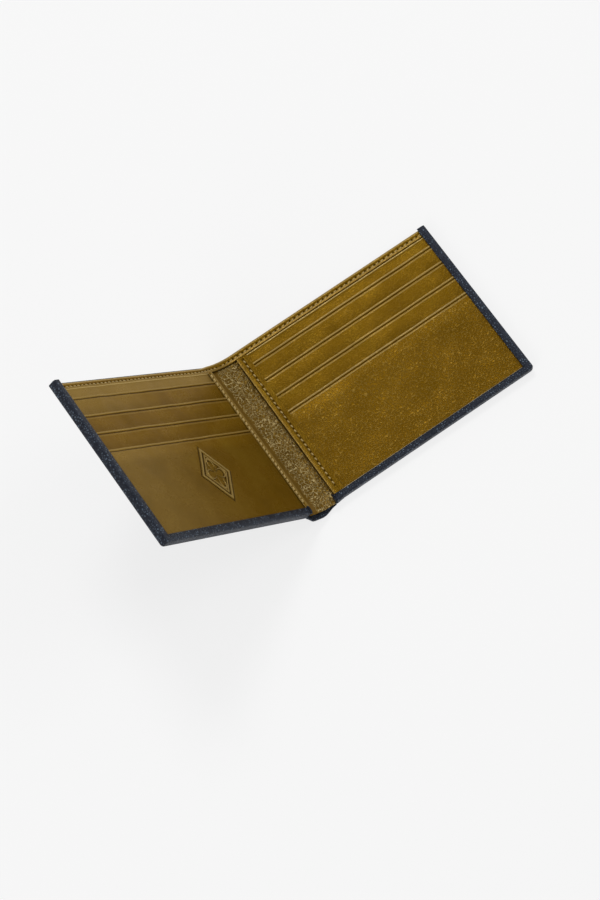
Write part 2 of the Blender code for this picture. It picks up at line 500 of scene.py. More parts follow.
@dataclass(frozen=True)
class Leather(Finish):
    """Chrome-tanned calf leather with a milled grain under a clear finish.

    The grain is a net of fine cells. Painted shade in grooves, needle holes, hollows and under lifted
    edges, with some darker tone, darkens the colour where it is marked on the points. Wear on edges and
    painted highlights on mouths, raised edges and ridges, also marked on the points, lighten it. Where a
    point is marked as ironed the grain is flattened.

    Attributes:
        name: The material's name.
        body: Colour of the flat surface.
        deep: Colour in the darker clouds.
        light: Colour in the lighter clouds.
        pale: Colour on the grain's tops.
        wear_and_highlight: Colour of wear on edges and of painted highlights.
        groove: Colour of painted shade in grooves, holes, hollows and under edges, and of darker tone.
        roughness: Roughness of the clear finish.
        grain: Width of a grain cell in metres.
        grain_height: Height of the grain in metres.
        fine: Width of the fine pores in metres.
        fine_height: Height of the fine pores in metres.
        cloud: Width of the colour clouds in metres.
        speckle: How much paler the grain's tops are, from 0 to 1.
        uneven: How much the grain's cells differ in paleness, from 0 to 1.
        gloss: Specular level of the finish.
        dyed: Share of the gloss that takes the leather's own colour, as a dyed finish gives.
        tint: Colour of the finish's reflection.
        vein: Width of the raised creases as a share of a cell, or 0 where the cells stand up instead.
    """

    name: str
    body: str
    deep: str
    light: str
    pale: str
    wear_and_highlight: str
    groove: str
    roughness: float = 0.35
    grain: float = 0.8 * MM
    grain_height: float = 0.05 * MM
    fine: float = 0.3 * MM
    fine_height: float = 0.015 * MM
    cloud: float = 16 * MM
    speckle: float = 0.0
    uneven: float = 0.0
    gloss: float = 0.5
    dyed: float = 0.0
    tint: str = "#ffdb78"
    vein: float = 0.0

    def paint(self, tree: bpy.types.NodeTree, shader: Any) -> None:
        """Build the leather's nodes."""
        flat = add_node(tree, "Attribute", attribute_name="laid_flat").outputs["Vector"]
        clouds = add_node(
            tree, "TexNoise", {"Vector": flat, "Scale": 1 / self.cloud, "Detail": 4.0, "Roughness": 0.55}
        ).outputs["Fac"]
        colour = ramp(tree, clouds, [(0.3, self.deep), (0.52, self.body), (0.78, self.light)])
        ironed = add_node(tree, "Attribute", attribute_name="ironed").outputs["Fac"]
        tops, pores = self._grain(tree, flat)
        if self.uneven:
            spots, low, high = tops, 0.45, 1.0
        else:
            spots = add_node(tree, "Math", {0: tops, 1: pores}, operation="MULTIPLY").outputs["Value"]
            low, high = 0.28, 0.54
        share = add_node(
            tree, "MapRange", {"Value": spots, "From Min": low, "From Max": high, "To Max": self.speckle}
        ).outputs["Result"]
        share = add_node(
            tree, "MapRange", {"Value": ironed, "To Min": share, "To Max": 0.0}
        ).outputs["Result"]
        wear_and_highlight = add_node(tree, "Attribute", attribute_name="wear_and_painted_highlight").outputs["Fac"]
        painted_shade_and_tone = add_node(tree, "Attribute", attribute_name="painted_shade_and_tone").outputs["Fac"]
        # Painted highlights and wear lighten the colour; painted shade and darker tone darken it.
        for factor, other in ((share, self.pale), (wear_and_highlight, self.wear_and_highlight), (painted_shade_and_tone, self.groove)):
            colour = add_node(
                tree, "Mix", {"Factor": factor, 6: colour, 7: linear(other)}, data_type="RGBA"
            ).outputs[2]
        tree.links.new(colour, shader.inputs["Base Color"])
        rough = add_node(
            tree,
            "MapRange",
            {"Value": clouds, "To Min": self.roughness + 0.08, "To Max": self.roughness - 0.08},
        ).outputs["Result"]
        tree.links.new(rough, shader.inputs["Roughness"])
        shader.inputs["Metallic"].default_value = self.dyed
        shader.inputs["Specular IOR Level"].default_value = self.gloss
        shader.inputs["Specular Tint"].default_value = linear(self.tint)
        fine_bump = add_node(
            tree, "Bump", {"Height": pores, "Distance": self.fine_height, "Strength": 1.0}
        ).outputs["Normal"]
        height = add_node(tree, "MapRange", {"Value": ironed, "To Min": tops, "To Max": 0.0}).outputs["Result"]
        grain_bump = add_node(
            tree, "Bump", {"Height": height, "Distance": self.grain_height, "Strength": 1.0, "Normal": fine_bump}
        ).outputs["Normal"]
        tree.links.new(grain_bump, shader.inputs["Normal"])

    def _grain(self, tree: bpy.types.NodeTree, flat: Any) -> tuple[Any, Any]:
        """The grain's cells and its fine pores.

        Args:
            tree: The material's node tree.
            flat: The socket with the piece's flat coordinates.

        Returns:
            Sockets that are 1 on a cell's top and on a pore's rim.
        """
        warp = add_node(
            tree, "TexNoise", {"Vector": flat, "Scale": 0.4 / self.grain, "Detail": 2.0}
        ).outputs["Color"]
        bent = add_node(
            tree,
            "VectorMath",
            {0: warp, 1: (self.grain * 1.2,) * 3, 2: flat},
            operation="MULTIPLY_ADD",
        ).outputs["Vector"]
        cells = add_node(
            tree,
            "TexVoronoi",
            {"Vector": bent, "Scale": 1 / self.grain, "Randomness": 1.0},
            feature="DISTANCE_TO_EDGE",
        ).outputs["Distance"]
        reach = {"From Min": self.vein, "From Max": 0.0} if self.vein else {"From Min": 0.0, "From Max": 0.32}
        tops = add_node(
            tree, "MapRange", {"Value": cells, **reach}, interpolation_type="SMOOTHSTEP"
        ).outputs["Result"]
        pores = add_node(
            tree, "TexNoise", {"Vector": flat, "Scale": 1 / self.fine, "Detail": 3.0, "Roughness": 0.6}
        ).outputs["Fac"]
        if self.uneven:
            cell = add_node(
                tree, "TexVoronoi", {"Vector": bent, "Scale": 1 / self.grain, "Randomness": 1.0}
            ).outputs["Color"]
            luck = add_node(
                tree,
                "MapRange",
                {"Value": cell, "From Min": 0.25, "From Max": 0.6, "To Min": 1 - self.uneven, "To Max": 1.0},
            ).outputs["Result"]
            tops = add_node(tree, "Math", {0: tops, 1: luck}, operation="MULTIPLY").outputs["Value"]
        return tops, pores


@dataclass(frozen=True)
class Cloth(Finish):
    """Plain woven lining. The weave is two crossed waves, one thread apart.

    Attributes:
        name: The material's name.
        body: Colour of the threads.
        deep: Colour between the threads.
        thread: Spacing of the threads in metres.
    """

    name: str
    body: str
    deep: str
    thread: float = 0.35 * MM

    def paint(self, tree: bpy.types.NodeTree, shader: Any) -> None:
        """Build the weave's nodes."""
        flat = add_node(tree, "TexCoord").outputs["Object"]
        bands = [
            add_node(
                tree,
                "TexWave",
                {"Vector": flat, "Scale": 1 / (20 * self.thread) * 6.28 / 2, "Distortion": 0.4, "Detail": 1.0},
                bands_direction=direction,
            ).outputs["Fac"]
            for direction in ("X", "Y")
        ]
        weave = add_node(tree, "Math", {0: bands[0], 1: bands[1]}, operation="MULTIPLY").outputs["Value"]
        tree.links.new(ramp(tree, weave, [(0.0, self.deep), (0.6, self.body)]), shader.inputs["Base Color"])
        shader.inputs["Roughness"].default_value = 0.85
        bump = add_node(tree, "Bump", {"Height": weave, "Distance": 0.06 * MM, "Strength": 0.8})
        tree.links.new(bump.outputs["Normal"], shader.inputs["Normal"])


@dataclass(frozen=True)
class Thread(Finish):
    """Waxed polyester sewing thread, twisted, with a soft gloss.

    Attributes:
        name: The material's name.
        body: Colour of the thread.
        deep: Colour between its plies.
        ply: Spacing of the plies in metres, coarser than real so that it shows.
    """

    name: str
    body: str
    deep: str
    ply: float = 0.3 * MM

    def paint(self, tree: bpy.types.NodeTree, shader: Any) -> None:
        """Build the twist's nodes."""
        flat = add_node(tree, "Attribute", attribute_name="laid_flat").outputs["Vector"]
        twist = add_node(
            tree,
            "TexWave",
            {"Vector": flat, "Scale": 3.14 / (10 * self.ply), "Distortion": 0.6},
            bands_direction="DIAGONAL",
        ).outputs["Fac"]
        tree.links.new(ramp(tree, twist, [(0.1, self.deep), (0.6, self.body)]), shader.inputs["Base Color"])
        shader.inputs["Roughness"].default_value = 0.5
        bump = add_node(tree, "Bump", {"Height": twist, "Distance": 0.04 * MM, "Strength": 0.7})
        tree.links.new(bump.outputs["Normal"], shader.inputs["Normal"])


@dataclass(frozen=True)
class Board(Finish):
    """Pressed leather fibre board, matt and flecked.

    Attributes:
        name: The material's name.
        body: Colour of the board.
        fleck: Colour of its flecks.
    """

    name: str
    body: str
    fleck: str

    def paint(self, tree: bpy.types.NodeTree, shader: Any) -> None:
        """Build the board's nodes."""
        flat = add_node(tree, "TexCoord").outputs["Object"]
        grit = add_node(tree, "TexNoise", {"Vector": flat, "Scale": 1 / (0.5 * MM), "Detail": 3.0}).outputs["Fac"]
        tree.links.new(ramp(tree, grit, [(0.35, self.fleck), (0.6, self.body)]), shader.inputs["Base Color"])
        shader.inputs["Roughness"].default_value = 0.9


# Pebble-printed calf. The eye sees dark blue pebbles, each of a slightly different paleness.
# Their real width of about 0.5 mm is drawn coarser, so that it shows.
NAVY = Leather(
    "navy_pebbled_calf",
    body="#12161e",
    deep="#10141b",
    light="#181d26",
    pale="#56626f",
    wear_and_highlight="#39404b",
    groove="#0c0e12",
    roughness=0.48,
    grain=1.05 * MM,
    grain_height=0.25 * MM,
    fine=1.0 * MM,
    fine_height=0.06 * MM,
    cloud=7 * MM,
    speckle=0.95,
    uneven=0.55,
    gloss=0.35,
    tint="#dfe6ff",
)
# Glazed calf, ironed nearly flat. It mirrors the lamps softly, with a fine net just visible.
OLIVE_SMOOTH = Leather(
    "olive_glazed_calf",
    body="#745408",
    deep="#684a03",
    light="#7c5e12",
    pale="#967a38",
    wear_and_highlight="#b0965c",
    groove="#2b1b03",
    roughness=0.28,
    grain=0.95 * MM,
    grain_height=0.03 * MM,
    fine=0.5 * MM,
    fine_height=0.035 * MM,
    cloud=18 * MM,
    speckle=0.32,
    gloss=0.12,
    dyed=0.26,
    vein=0.18,
)
# Milled calf. Its pale creases make a wandering net; the real net of 0.7 mm is drawn coarser.
OLIVE_GRAINED = Leather(
    "olive_milled_calf",
    body="#76550b",
    deep="#6f5007",
    light="#7c5b10",
    pale="#987c3a",
    wear_and_highlight="#b39b64",
    groove="#2b1b03",
    roughness=0.32,
    grain=1.3 * MM,
    grain_height=0.08 * MM,
    fine=0.9 * MM,
    fine_height=0.05 * MM,
    cloud=20 * MM,
    speckle=0.55,
    gloss=0.08,
    dyed=0.3,
    vein=0.2,
)
# The same calf, creased by folding. Its sharp pale ridges are painted glints of light on a duller ground.
OLIVE_CRINKLED = Leather(
    "olive_crinkled_calf",
    body="#6a4e16",
    deep="#5d4410",
    light="#7a5e2c",
    pale="#d0ba84",
    wear_and_highlight="#a8915a",
    groove="#2e1e03",
    roughness=0.3,
    grain=1.6 * MM,
    grain_height=0.22 * MM,
    fine=1.0 * MM,
    fine_height=0.05 * MM,
    cloud=12 * MM,
    speckle=0.9,
    gloss=0.3,
    dyed=0.15,
    vein=0.16,
)
# The cut side of the leather, undyed and dry.
RAW_EDGE = Leather(
    "raw_leather_edge",
    body="#b3a27c",
    deep="#94805a",
    light="#cdbf9d",
    pale="#cdbf9d",
    wear_and_highlight="#d8ccb0",
    groove="#6d5c3a",
    roughness=0.6,
    grain_height=0.02 * MM,
)
LINING = Cloth("olive_woven_lining", body="#5d4c24", deep="#33290f")
SEAM_THREAD = Thread("ochre_seam_thread", body="#cfb474", deep="#8a7034")
STIFFENER = Board("leather_fibre_board", body="#93897a", fleck="#6d6455")


# ---------------------------------------------------------------- pieces


@dataclass
class HalfLayout:
    """Sizes of one half, read from the frame in the half's own layout.

    Attributes:
        side: Which half.
        fold: The wallet's creases.
        binding_start: Distance from the crease at which the bottom binding begins.
    """

    side: Side
    fold: Fold
    binding_start: float
    matrix: Matrix = field(init=False)
    top: float = field(init=False)

    def __post_init__(self) -> None:
        """Work out the half's transform and find its top edge."""
        self.matrix = self.fold.matrix(self.side)
        self.top = self.extent("cover_leather")[1].y

    @property
    def body(self) -> str:
        """The half's body in the frame."""
        return f"{self.side.value}_half"

    def node(self, name: str) -> str:
        """Full name of one of the half's nodes."""
        return f"{self.side.value}_{name}"

    def extent(self, name: str) -> tuple[Vector, Vector]:
        """Lowest and highest u, y and z of a node in the half's layout.

        Args:
            name: The node's name without the half's.

        Returns:
            The two corners.
        """
        back = self.matrix.inverted()
        points = [back @ v.co for v in frame["nodes"][self.node(name)].data.vertices]
        low = Vector([min(p[i] for p in points) for i in range(3)])
        high = Vector([max(p[i] for p in points) for i in range(3)])
        return low, high

    def settle(self, point: Vector) -> Vector:
        """Lower the divider's upper end a little on the front half, as its leather has crept down.

        Args:
            point: Point in the half's layout.

        Returns:
            Its settled place.
        """
        if self.side is Side.FRONT:
            high = smooth(point.y, self.top - 9 * MM, self.top - 0.5 * MM)
            point.y -= 0.95 * MM * high * smooth(point.x, 0.0, 9 * MM)
        return point

    def ride(self, piece: Workpiece, *nodes: str) -> None:
        """Let a piece move with the half and stand for some of its nodes."""
        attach(piece.object, self.body)
        if nodes:
            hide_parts(*(self.node(name) for name in nodes))

    def blend(self, piece: Workpiece, *nodes: str) -> None:
        """Bake the piece's place into its mesh, and let it stand for some of the frame's nodes.

        Args:
            piece: The piece, already in its place.
            nodes: Full names of the nodes that it stands for.
        """
        end = self.matrix @ Crossing(self.fold, self.fold.crease_height, 0.0).bend(
            Vector((-3.6 * MM, 0.0, self.fold.crease_height))
        )
        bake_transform(piece.object)
        if nodes:
            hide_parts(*nodes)


@dataclass
class Cover:
    """Outer leather of one half: the face, and its side and bottom turned over the inside.

    Attributes:
        layout: The half's sizes.
        leather: Thickness of the leather.
        face_radius: Rounding from the face to the side.
        lip_radius: Rounding from the side to the turned edge.
        corner_radius: Rounding of the outer bottom corner.
        spine_bulge: How far the spine's leather bows out below the creases' axes.
        tab_drop: How far the spine's bottom edge stands below the bindings.
    """

    layout: HalfLayout
    leather: float = 0.8 * MM
    face_radius: float = 1.1 * MM
    lip_radius: float = 1.25 * MM
    corner_radius: float = 1.7 * MM
    spine_bulge: float = 1.2 * MM
    tab_drop: float = 2.1 * MM

    def __post_init__(self) -> None:
        """Read the half's outline from the frame."""
        low, high = self.layout.extent("cover_leather")
        self.outer, self.top, self.bottom, self.height = high.x, high.y, low.y, high.z
        self.lip = self.layout.extent("inner_hem")[0].y - low.y - 0.1 * MM

    def profile(self) -> list[tuple[float, float]]:
        """Steps (inward distance, height) of the leather from the face round to the lip's edge."""
        steps = []
        for i in range(1, 7):
            a = math.radians(15 * i)
            r = self.face_radius
            steps.append((r * (1 - math.sin(a)), r * (1 - math.cos(a))))
        steps.append((0.0, self.height / 2))
        for i in range(0, 7):
            a = math.radians(15 * i)
            r = self.lip_radius
            steps.append((r * (1 - math.cos(a)), self.height - r * (1 - math.sin(a))))
        for share, drop in ((0.55, 0.0), (0.85, 0.02), (0.96, 0.10), (1.0, 0.26)):
            steps.append((self.lip * share, self.height - drop * MM))
        return steps

    def corner(self, inward: float, share: float) -> Vector:
        """A point on the rounded corner of the outline, set in by some distance.

        Args:
            inward: Distance inside the outer outline.
            share: 0 at the side's end of the corner, 1 at the bottom's.

        Returns:
            The point, with height 0.
        """
        radius = max(self.corner_radius - inward, 0.25 * MM)
        a = math.radians(90 * share)
        x = self.outer - inward - radius + radius * math.cos(a)
        y = self.bottom + inward + radius - radius * math.sin(a)
        return Vector((x, y, 0.0))

    def build(self) -> None:
        """Model the leather and let it bend to the spine."""
        edge = self.face_radius
        inner = self.corner_radius - edge
        path = Crossing(self.layout.fold, 0.0, -self.spine_bulge)
        turn = (self.outer - self.corner_radius, self.bottom + self.corner_radius)
        corner_steps = [inner * math.sin(math.radians(90 * i / 4)) for i in range(5)]
        binding = self.layout.binding_start
        columns = joined(
            lines(path.end, binding - 0.1 * MM, 0.45 * MM),
            [binding - 0.1 * MM],
            [binding + step * MM for step in (0.02, 0.1, 0.25, 0.5, 0.9)],
            lines(binding + 0.9 * MM, turn[0], 4 * MM),
            [turn[0] + s for s in corner_steps],
        )
        rows = joined(
            [turn[1] - s for s in corner_steps],
            lines(turn[1], self.top, 4 * MM),
        )
        piece = Workpiece.grid(self.layout.node("cover_hide"), columns, rows, 0.0)
        centre = Vector((turn[0], turn[1], 0.0))

        def rounded(point: Vector) -> Vector:
            """Pull the grid's outer bottom corner in to a round one."""
            a = (point.x - centre.x) / inner
            b = (centre.y - point.y) / inner
            if a <= 0 or b <= 0:
                return point
            x = a * math.sqrt(max(0.0, 1 - b * b / 2))
            y = b * math.sqrt(max(0.0, 1 - a * a / 2))
            return Vector((centre.x + x * inner, centre.y - y * inner, 0.0))

        piece.shape(rounded)
        piece.flip()
        side_rows = [y for y in rows if y > turn[1] + 1e-7]
        bottom_columns = [x for x in columns if x < turn[0] - 1e-7]
        piece.extrude(self._on_outline, self._rings(side_rows, bottom_columns, len(corner_steps)))
        self._close_binding(piece)
        piece.thicken(self.leather)
        piece.round_rim(0.16 * MM, 2, self._rim)
        piece.mark("wear_and_painted_highlight", self._rubbed)
        piece.shape(self._spread)
        piece.finish(self.layout.matrix, NAVY, "navy_leather", path)
        self.layout.blend(piece, self.layout.node("cover_leather"), "spine_cover")

    def _spread(self, point: Vector) -> Vector:
        """Let the back half's turned side swell outwards, draw its bottom in, and keep the face flat.

        Args:
            point: Point of the finished leather.

        Returns:
            Its place.
        """
        point.z = max(point.z, 0.0)
        if self.layout.side is Side.BACK:
            start = self.layout.binding_start
            foot = 1 - smooth(point.y, self.bottom, self.bottom + 2.6 * MM)
            point.x += 0.6 * MM * smooth(point.x, self.outer - 2.6 * MM, self.outer)
            point.y += 0.5 * MM * foot * smooth(point.x, start, start + 4 * MM)
        return point

    def _on_outline(self, point: Vector) -> bool:
        """Whether a point of the face is on its outer side, its bottom or the corner between."""
        edge = self.face_radius + 1e-6
        near_side = point.x > self.outer - self.corner_radius - 1e-7
        near_bottom = point.y < self.bottom + self.corner_radius + 1e-7
        if near_side and near_bottom:
            return True
        return point.x > self.outer - edge or point.y < self.bottom + edge

    def _rings(self, side: list[float], bottom: list[float], corner_count: int) -> list[Ring]:
        """Places of each ring of points round the side and the bottom.

        Args:
            side: The side's rows above the corner.
            bottom: The bottom's columns inside the corner.
            corner_count: Number of points along one leg of the grid's corner.

        Returns:
            The rings, from the face to the lip's edge.
        """
        rings = []
        steps = self.profile()
        arc = 2 * (corner_count - 1)
        for index, (inward, height) in enumerate(steps):
            ring = [Vector((self.outer - inward, y, height)) for y in sorted(side, reverse=True)]
            for k in range(arc + 1):
                place = self.corner(inward, k / arc)
                ring.append(Vector((place.x, place.y, height)))
            for x in sorted(bottom, reverse=True):
                if x > self.layout.binding_start:
                    end = 1 - min(1.0, (x - self.layout.binding_start) / (0.9 * MM))
                    drawn = 1 - math.sqrt(1 - end * end * 0.98)
                    lowered = height - 0.7 * MM * drawn * height / self.height
                    ring.append(Vector((x, self.bottom + inward + 0.25 * MM * drawn, lowered)))
                else:
                    drop = (index + 1) / len(steps) * (self.face_radius + self._tab(x))
                    ring.append(Vector((x, self.bottom + self.face_radius - drop, 0.0)))
            rings.append(ring)
        return rings

    def raw_edge(self) -> None:
        """The pale cut edge of the leather, which shows along the bottom binding."""
        start, end = self.layout.binding_start + 1.2 * MM, self.outer - self.lip - 0.2 * MM
        edge = self.bottom + self.lip
        rows = lines(edge - 0.2 * MM, edge + 0.16 * MM, 0.12 * MM)
        piece = Workpiece.grid(self.layout.node("raw_edge"), lines(start, end, 1.5 * MM), rows, 0.0)

        def laid(point: Vector) -> Vector:
            """The strip's place under the turned edge, a little uneven."""
            point.y += 0.05 * MM * waves(point, 5 * MM, 21.0)
            point.z = self.height - 0.34 * MM - 0.2 * MM * smooth(point.y, edge, edge + 0.2 * MM)
            return point

        piece.shape(laid)
        piece.thicken(0.25 * MM)
        piece.round_rim(0.05 * MM, 1)
        piece.finish(self.layout.matrix, RAW_EDGE, "navy_leather")
        self.layout.ride(piece)

    def _close_binding(self, piece: Workpiece) -> None:
        """Cut the bottom binding free of the spine's edge, and fold its end closed."""
        cut = self.layout.binding_start - 0.04 * MM
        face_edge = self.bottom + self.face_radius - 1e-6

        def beside_cut(corners: Sequence[Vector]) -> bool:
            """Whether a face of the binding lies across the cut."""
            across = min(c.x for c in corners) < cut < max(c.x for c in corners)
            return across and any(c.z > 1e-5 or c.y < face_edge for c in corners)

        piece.cut(beside_cut)
        end = self.layout.binding_start + 0.02 * MM
        centre = Vector((0.0, self.bottom + 0.8 * self.lip, 0.32 * self.height))
        piece.close_end(
            lambda p: abs(p.x - end) < 1e-6 and p.y < self.bottom + self.lip + 1e-3,
            centre,
            ((0.1, 0.1 * MM), (0.2, 0.08 * MM), (0.35, 0.04 * MM), (0.5, 0.0), (0.9, 0.0)),
        )

    def _rim(self, point: Vector) -> bool:
        """Whether a point is on the cut edge of the leather, away from the bindings' ends."""
        if point.x < self.layout.binding_start - 0.8 * MM:
            return point.x > -self.layout.fold.half_spine + 0.2 * MM
        return point.x > self.layout.binding_start + 1.2 * MM

    def _tab(self, x: float) -> float:
        """How far the spine's bottom edge stands below the bindings, most on the front half's side."""
        full = 0.5 * MM if self.layout.side is Side.FRONT else -self.layout.fold.half_spine
        return self.tab_drop * (1 - smooth(x, full, self.layout.binding_start))

    def _rubbed(self, point: Vector) -> float:
        """Wear along the turned edge's round and its inner edge."""
        inward = min(self.outer - point.x, point.y - self.bottom)
        high = smooth(point.z, self.height - 0.7 * MM, self.height)
        return 0.22 * high * (1 - smooth(abs(inward - 1.0 * MM), 0.2 * MM, 1.2 * MM))


@dataclass
class FoldLayers:
    """The sheets that run from one half to the spine's middle line.

    Attributes:
        layout: The half's sizes.
        wrinkle: Height of the crinkles between the card panels.
    """

    layout: HalfLayout
    wrinkle: float = 0.36 * MM

    def sheet(
        self,
        name: str,
        low: Vector,
        high: Vector,
        middle: float,
        finish: Finish,
        slot: str,
        settled: bool = False,
    ) -> Workpiece:
        """A plain sheet from the outer edge to the middle line.

        Args:
            name: The piece's name.
            low: Lowest y and z. The sheet runs on to the middle line, whatever its lowest u.
            high: Highest u, y and z.
            middle: Height of its top at the middle line, above the creases' axes.
            finish: The surface it gets.
            slot: The record's material slot.
            settled: Whether its upper end has crept down with the divider's.

        Returns:
            The piece, in its place.
        """
        path = Crossing(self.layout.fold, high.z, middle)
        columns = joined(lines(path.end, path.start, 0.6 * MM), lines(path.start, high.x, 8 * MM))
        piece = Workpiece.grid(name, columns, lines(low.y, high.y, 6 * MM), high.z)
        piece.thicken(high.z - low.z)
        if settled:
            piece.shape(self.layout.settle)
        piece.finish(self.layout.matrix, finish, slot, path)
        return piece

    def build(self) -> None:
        """Make the linings, the top facing and the divider."""
        layout = self.layout
        low, high = layout.extent("bill_lining")
        high.y -= 0.6 * MM
        lining = self.sheet(layout.node("bill_lining_cloth"), low, high, -0.9 * MM, LINING, "lining")
        layout.blend(lining, layout.node("bill_lining"), "spine_bill_lining")
        cover_top = layout.extent("cover_leather")[1].y
        facing_low = Vector((0.0, cover_top - 0.95 * MM, 0.84 * MM))
        facing_high = Vector((high.x, cover_top - 0.06 * MM, 1.62 * MM))
        facing = self.sheet(layout.node("top_facing"), facing_low, facing_high, -0.85 * MM, NAVY, "navy_leather")
        layout.blend(facing)
        low, high = layout.extent("divider_lining")
        backing = self.sheet(layout.node("divider_lining_cloth"), low, high, 0.7 * MM, LINING, "lining", True)
        layout.blend(backing, layout.node("divider_lining"), "spine_divider_lining")
        self.divider()

    def crinkle(self, point: Vector) -> float:
        """Height of the crinkles between the card panels, in metres.

        Args:
            point: Point in the flat layout.

        Returns:
            The height, 0 outside the crinkled strip.
        """
        sign = 1.0 if self.layout.side is Side.BACK else -1.0
        across = sign * (point.x + self.layout.fold.half_spine)
        place = Vector((across / MM, point.y / MM, 4.0))
        turn = noise.noise_vector(place * 0.23) * 1.6
        bent = place + Vector((turn.x, turn.y, 0.0))
        ridges = noise.voronoi(Vector((bent.x / 1.25, bent.y / 1.9, 1.0)))[0]
        net = min(1.0, (ridges[1] - ridges[0]) * 1.7)
        fine = noise.noise(bent * 1.5)
        rolls = noise.noise(Vector((across / (4.0 * MM), point.y / (9 * MM), 9.0)))
        height = self.wrinkle * (0.5 - net + 0.5 * fine + 0.3 * rolls)
        return height * self.crinkled(point)

    def crinkled(self, point: Vector) -> float:
        """Share of crinkling at a point: all on the spine, none under the panels."""
        if self.layout.side is Side.BACK:
            return 1 - smooth(point.x, 2.6 * MM, 5.0 * MM)
        edge = -3.4 * MM + 0.8 * MM * noise.noise(Vector((3.0, point.y / (6 * MM), 0.0)))
        return 1 - smooth(point.x, edge - 0.5 * MM, edge + 0.9 * MM)

    def divider(self) -> None:
        """The olive leather that carries the card panel and shows, crinkled, between the halves."""
        layout = self.layout
        low, high = layout.extent("divider")
        low.y = layout.extent("cover_leather")[0].y + 0.1 * MM
        path = Crossing(layout.fold, high.z, 1.6 * MM)
        columns = joined(lines(path.end, 6 * MM, 0.32 * MM), lines(6 * MM, high.x, 8 * MM))
        piece = Workpiece.grid(layout.node("divider_hide"), columns, lines(low.y, high.y, 0.36 * MM), high.z)

        def relief(point: Vector) -> Vector:
            """Crinkles, and the sheet's foot drawn in where the cover's bottom is turned over it."""
            point.z += self.crinkle(point)
            if point.x > layout.binding_start - 0.4 * MM and point.y < low.y + 1.2 * MM:
                point.y = low.y + 1.2 * MM + (point.y - low.y) * 0.05
            return point

        piece.shape(relief)
        piece.thicken(high.z - low.z)
        # Painted shade in the crinkles' hollows and under the back panel's edge, and painted highlights on the
        # crinkles' ridges.
        piece.mark("painted_shade_and_tone", lambda p: 0.2 * smooth(-self.crinkle(p), 0.0, self.wrinkle) + self._shade(p))
        piece.mark("wear_and_painted_highlight", lambda p: 0.5 * smooth(self.crinkle(p), 0.3 * self.wrinkle, 0.8 * self.wrinkle))
        piece.mark("ironed", lambda p: 1 - self.crinkled(p))
        piece.shape(layout.settle)
        piece.finish(layout.matrix, OLIVE_CRINKLED, "olive_leather", path)
        layout.blend(piece, layout.node("divider"), "spine_divider")

    def _shade(self, point: Vector) -> float:
        """Painted shadow under the back panel's lifted inner edge."""
        if self.layout.side is Side.FRONT:
            return 0.0
        return 0.35 * smooth(point.x, 2.6 * MM, 4.2 * MM)


@dataclass(frozen=True)
class Seam:
    """A line of stitches laid on a surface.

    Attributes:
        name: The piece's name.
        holes: Places of the needle holes, in order.
        width: Thickness of the thread.
        slant: Turn of each stitch off the line, in radians.
        share: Length of a stitch as a share of the pitch.
    """

    name: str
    holes: tuple[Vector, ...]
    width: float = 0.52 * MM
    slant: float = 0.0
    share: float = 0.72

    def build(self) -> Workpiece:
        """Model one stitch, lay a copy of it between each two holes and join them."""
        one = self._stitch((self.holes[1] - self.holes[0]).length * self.share)
        copies = []
        for first, second in zip(self.holes, self.holes[1:]):
            along = second - first
            made = one.copy()
            made.data = one.data.copy()
            turn = Matrix.Rotation(math.atan2(along.y, along.x) + self.slant, 4, "Z")
            made.data.transform(Matrix.Translation((first + second) / 2) @ turn)
            bpy.context.scene.collection.objects.link(made)
            copies.append(made)
        bpy.data.objects.remove(one, do_unlink=True)
        bpy.ops.object.select_all(action="DESELECT")
        for made in copies:
            made.select_set(True)
        bpy.context.view_layer.objects.active = copies[0]
        bpy.ops.object.join()
        return Workpiece(self.name, bpy.context.object)

    def _stitch(self, length: float) -> bpy.types.Object:
        """One stitch along X: a thread with blunt ends that dip into the leather.

        Args:
            length: Its length.

        Returns:
            The stitch, at the origin.
        """
        bpy.ops.object.select_all(action="DESELECT")
        bpy.ops.mesh.primitive_uv_sphere_add(segments=10, ring_count=7, radius=0.5)
        made = bpy.context.object
        for vertex in made.data.vertices:
            p = vertex.co
            fat = math.sqrt(max(0.0, 1 - (2 * p.x) ** 4))
            spread = math.sqrt(max(1e-9, 0.25 - p.x**2))
            flat = self.width * fat / max(spread, 0.12) * 0.5
            dip = 0.22 * MM * (2 * p.x) ** 2
            vertex.co = Vector((p.x * length, p.y * flat, p.z * flat * 0.8 - dip))
        return made


def hole_depth(point: Vector, holes: Sequence[Vector], radius: float) -> float:
    """How deep in a needle hole a point is.

    Args:
        point: The point.
        holes: The holes' middles.
        radius: Their radius.

    Returns:
        1 in the middle of a hole, 0 outside it.
    """
    nearest = min((point.xy - hole.xy).length_squared for hole in holes)
    return 1 - smooth(math.sqrt(nearest), 0.35 * radius, radius)


